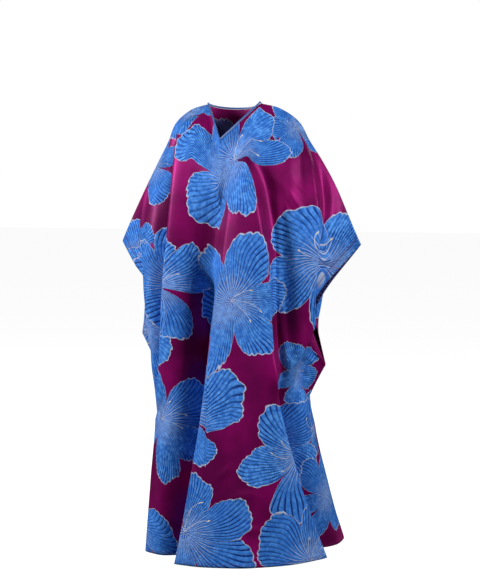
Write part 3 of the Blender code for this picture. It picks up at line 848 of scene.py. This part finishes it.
def build_panel(name, node, front, flowers, seed, material):
    """One panel as a thin closed shell: the folded form, the same grid moved out by the cloth's thickness,
    and a rim that joins the two all round."""
    across = np.linspace(-1, 1, PANEL_COLUMNS + 1)
    fall = np.linspace(0, 1, PANEL_ROWS + 1) ** 1.1
    points = panel_form(across, fall, front)
    normal = outward(points, front)[0]
    rows, columns = points.shape[:2]
    x, y = laid_out(points, fall)
    outer = (points + normal * CLOTH_THICK).reshape(-1, 3)
    inner = points.reshape(-1, 3)
    quads = grid_faces(rows, columns)
    rim = rim_faces(rows, columns)
    if not front:
        quads, rim = quads[:, ::-1], rim[:, ::-1]
    faces = np.concatenate([quads, quads[:, ::-1] + len(outer), rim])
    piece = new_object(name, np.concatenate([outer, inner]), faces, [material])
    place_x, place_y = np.tile(x.ravel(), 2), np.tile(y.ravel(), 2)
    petals = petals_of(flowers, x, y, across, fall, seed)
    tones = np.random.default_rng(seed + 1).random(len(petals) + 1)
    maps = petal_maps(place_x, place_y, faces, petals)
    for layer, (places, owner) in zip(LAYERS, maps):
        uv = piece.data.uv_layers.new(name=layer)
        uv.uv.foreach_set("vector", places.astype(np.float32).ravel())
        tone = piece.data.attributes.new(layer + "_tone", "FLOAT", "FACE")
        tone.data.foreach_set("value", tones[owner].astype(np.float32))
    inner = piece.data.attributes.new("inner_side", "FLOAT", "FACE")
    inner.data.foreach_set("value", np.repeat([0.0, 1.0, 0.0], [len(quads), len(quads), len(rim)]))
    edge = piece.data.attributes.new("from_edge", "FLOAT", "POINT")
    edge.data.foreach_set("value", np.tile(edge_distance(x, y, across, fall).ravel(), 2))
    heart = piece.data.uv_layers.new(name="heart")
    places = heart_map(place_x, place_y, faces, flowers, x, y, across, fall)
    heart.uv.foreach_set("vector", places.astype(np.float32).ravel())
    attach(piece, "root")
    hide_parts(node)
    return piece


def neck_path():
    """Points round the neck edge with the cloth's outward direction at each, front first and then back."""
    across = np.linspace(-NECK_ACROSS, NECK_ACROSS, 2 * BINDING_STEPS + 1)
    fall = np.array([0, 0.01, 0.02])
    points, normals = [], []
    for front, order in ((True, 1), (False, -1)):
        panel = panel_form(across, fall, front)
        points.append(panel[0, ::order])
        normals.append(outward(panel, front)[0][0, ::order])
    points[0][[0, -1]] = (points[0][[0, -1]] + points[1][[-1, 0]]) / 2
    normals[0][[0, -1]] += normals[1][[-1, 0]]
    path = np.concatenate([points[0], points[1][1:-1]])
    out = np.concatenate([normals[0], normals[1][1:-1]])
    return path, out / np.linalg.norm(out, axis=1, keepdims=True)


def build_binding():
    """Strip round the neck: a flattened round section, swept along the neck edge with mitred corners."""
    path, out = neck_path()
    ahead = np.roll(path, -1, axis=0) - path
    ahead /= np.linalg.norm(ahead, axis=1, keepdims=True)
    before = np.roll(ahead, 1, axis=0)
    inward = np.cross(out, ahead) + np.cross(out, before)
    inward /= np.linalg.norm(inward, axis=1, keepdims=True)
    bend = np.einsum("ij,ij->i", inward, np.cross(out, ahead))
    inward /= np.clip(bend, SHARPEST_MITRE, 1)[:, None]
    corners = np.linspace(0, 2 * np.pi, BINDING_SIDES + 1)[:-1]
    wide = BINDING_WIDTH / 2 * np.sign(np.cos(corners)) * np.abs(np.cos(corners)) ** 0.6
    thick = BINDING_THICK / 2 * np.sign(np.sin(corners)) * np.abs(np.sin(corners)) ** 0.8
    middle = path + inward * (BINDING_GAP + BINDING_WIDTH / 2) + out * BINDING_THICK / 2
    ring = middle[:, None] + inward[:, None] * wide[None, :, None] + out[:, None] * thick[None, :, None]
    count, sides = ring.shape[:2]
    index = np.arange(count * sides).reshape(count, sides)
    along, round_ = np.roll(index, -1, axis=0), np.roll(index, -1, axis=1)
    faces = np.stack([index, round_, np.roll(round_, -1, axis=0), along], axis=-1).reshape(-1, 4)
    piece = new_object("neck_strip", ring.reshape(-1, 3), faces, [binding_cloth()])
    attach(piece, "root")
    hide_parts("neck_binding")
    return piece


# Stage

VIEW_TURN = math.radians(22)
VIEW_DISTANCE = 5.0
VIEW_HEIGHT = -0.25
VIEW_ASIDE = 0.0195
FRAME_HEIGHT = 1.872  # metres that the picture's height shows at the robe
SENSOR = 24.0
HORIZON_SHIFT = -0.186
FLOOR_HALF = 30.0
FLOOR_GAP = 2 * MM
LIGHT_AIM = (0, 0, -0.7)
LIGHTS = (  # name, place, size, power
    ("right_light", (-3.3, -2.5, 1.1), 1.2, 270),
    ("left_light", (3.9, -1.3, 0.9), 1.2, 200),
    ("front_light", (0.9, -4.0, 1.6), 1.5, 26),
    ("back_light", (0.5, 3.2, 1.5), 2.0, 80),
)
SKY_LIGHT = 0.04  # light from the white sky; it looks plain white behind the robe


def build_stage():
    """White floor, the camera, a soft light on each side, a weak one in front, one behind, a white sky."""
    corners = np.array([(-1, -1), (1, -1), (1, 1), (-1, 1)]) * FLOOR_HALF
    ground = np.column_stack([corners, np.full(4, HEM_LEVEL - FLOOR_GAP)])
    floor = new_object("floor", ground, [(0, 1, 2, 3)], [floor_paper()])
    floor.visible_diffuse = False
    floor.visible_glossy = False
    camera = bpy.data.cameras.new("camera")
    camera.sensor_fit = "VERTICAL"
    camera.sensor_height = SENSOR
    camera.lens = SENSOR * VIEW_DISTANCE / FRAME_HEIGHT
    camera.shift_y = HORIZON_SHIFT
    eye = bpy.data.objects.new("camera", camera)
    along = np.array([math.cos(VIEW_TURN), math.sin(VIEW_TURN), 0])
    back = np.array([math.sin(VIEW_TURN), -math.cos(VIEW_TURN), 0])
    eye.location = along * VIEW_ASIDE + back * VIEW_DISTANCE + np.array([0, 0, VIEW_HEIGHT])
    eye.rotation_euler = (math.pi / 2, 0, VIEW_TURN)
    bpy.context.scene.collection.objects.link(eye)
    bpy.context.scene.camera = eye
    for name, place, size, power in LIGHTS:
        lamp = bpy.data.lights.new(name, "AREA")
        lamp.size = size
        lamp.energy = power
        light = bpy.data.objects.new(name, lamp)
        light.location = place
        toward = np.array(LIGHT_AIM) - np.array(place)
        turn = math.atan2(toward[0], -toward[1])
        dip = math.acos(-toward[2] / np.linalg.norm(toward))
        light.rotation_euler = (dip, 0, turn + math.pi)
        bpy.context.scene.collection.objects.link(light)
    sky = bpy.data.worlds.new("sky")
    sky.use_nodes = True
    background = sky.node_tree.nodes["Background"]
    background.inputs["Color"].default_value = (1, 1, 1, 1)
    seen = sky.node_tree.nodes.new("ShaderNodeLightPath").outputs["Is Camera Ray"]
    strength = sky.node_tree.nodes.new("ShaderNodeMapRange")
    strength.inputs["To Min"].default_value = SKY_LIGHT
    sky.node_tree.links.new(seen, strength.inputs["Value"])
    sky.node_tree.links.new(strength.outputs[0], background.inputs["Strength"])
    bpy.context.scene.world = sky
    bpy.context.scene.view_settings.view_transform = "Standard"


def build_robe():
    """The stage, both panels and the neck strip, with the cut that each sheet of cloth has."""
    build_stage()
    cloth = flower_cloth("flower_satin")
    front = build_panel("front_panel", "front", True, FRONT_FLOWERS, 11, cloth)
    back = build_panel("back_panel", "back", False, BACK_FLOWERS, 23, cloth)
    binding = build_binding()


build_robe()
